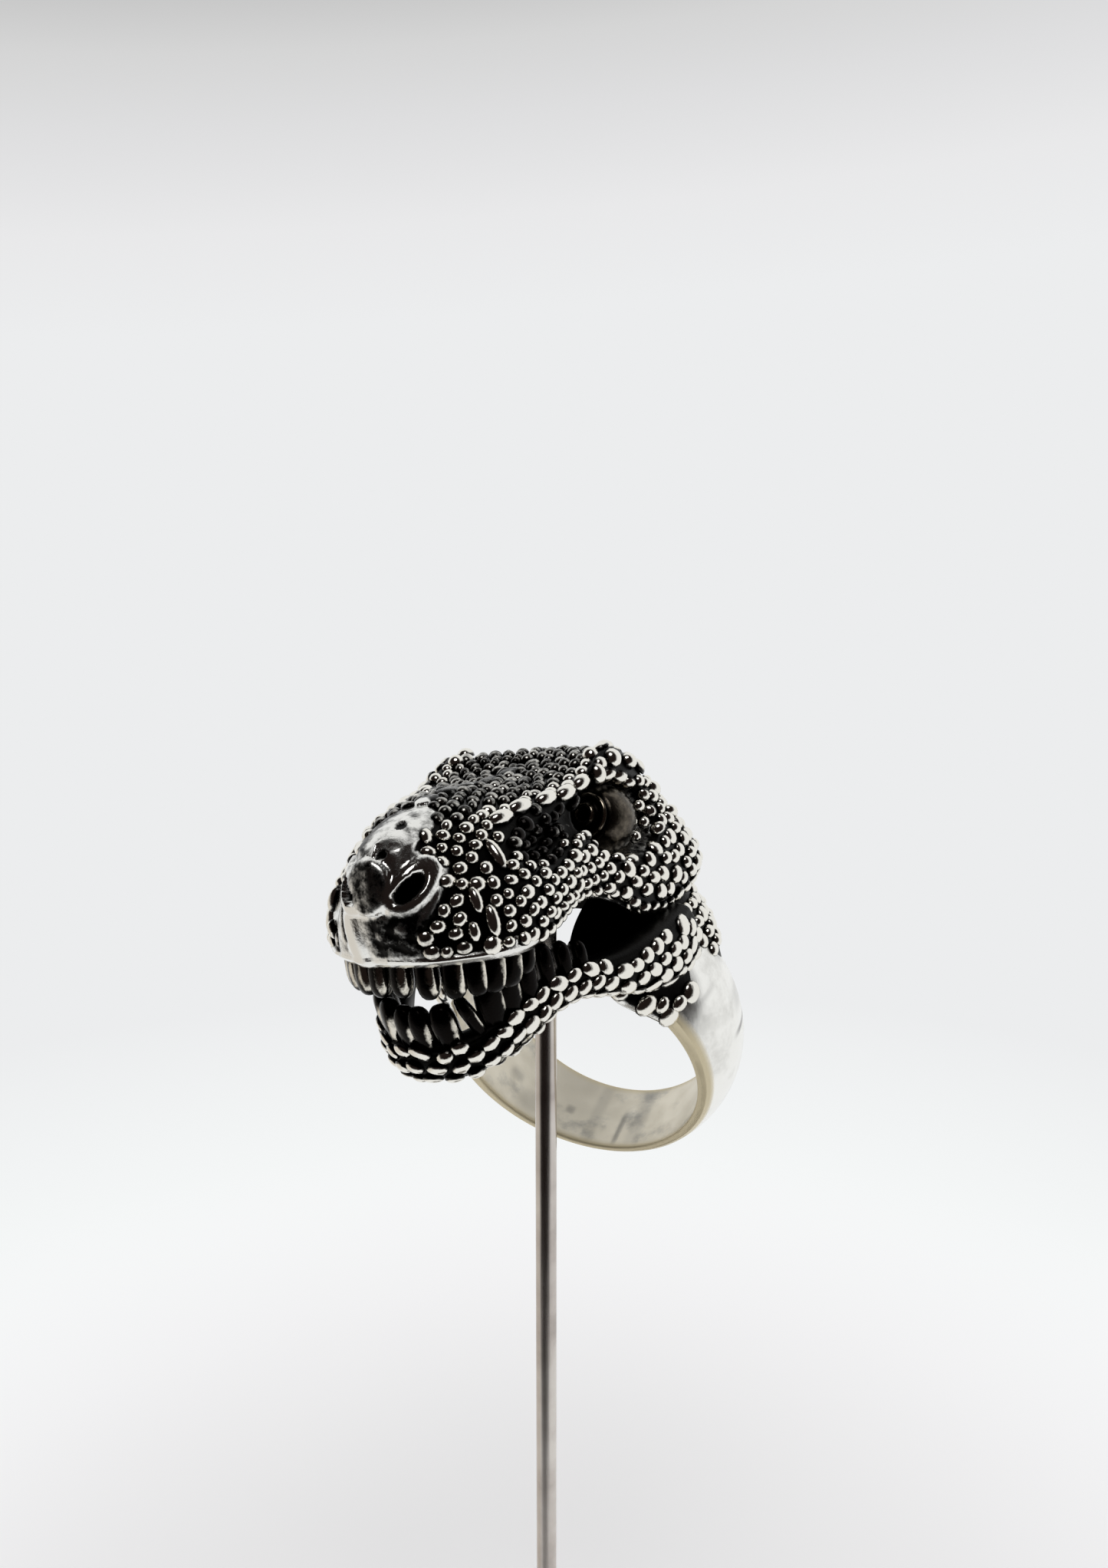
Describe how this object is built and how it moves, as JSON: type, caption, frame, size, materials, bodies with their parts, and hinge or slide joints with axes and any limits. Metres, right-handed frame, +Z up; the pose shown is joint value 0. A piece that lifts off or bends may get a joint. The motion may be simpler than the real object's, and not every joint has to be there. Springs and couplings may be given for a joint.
{
  "type": "dinosaur ring on a rod stand",
  "caption": "Cast finger ring shaped as an open-mouthed dinosaur head with scales and teeth, hung by its mouth on the thin rod of a round stand.",
  "frame": {"origin": "middle of the underside of the stand's base, on the rod's axis", "axes": "+Z up along the rod, -Y the way the snout points, +X the head's own left side"},
  "size_m": [0.038, 0.038, 0.092],
  "materials": {
    "silver": "polished silver with black oxide in the recesses",
    "steel": "drawn bright rod",
    "base": "turned, satin"
  },
  "bodies": {
    "root": {"ring": "silver", "stand_rod": "steel", "stand_base": "base"}
  },
  "joints": []
}
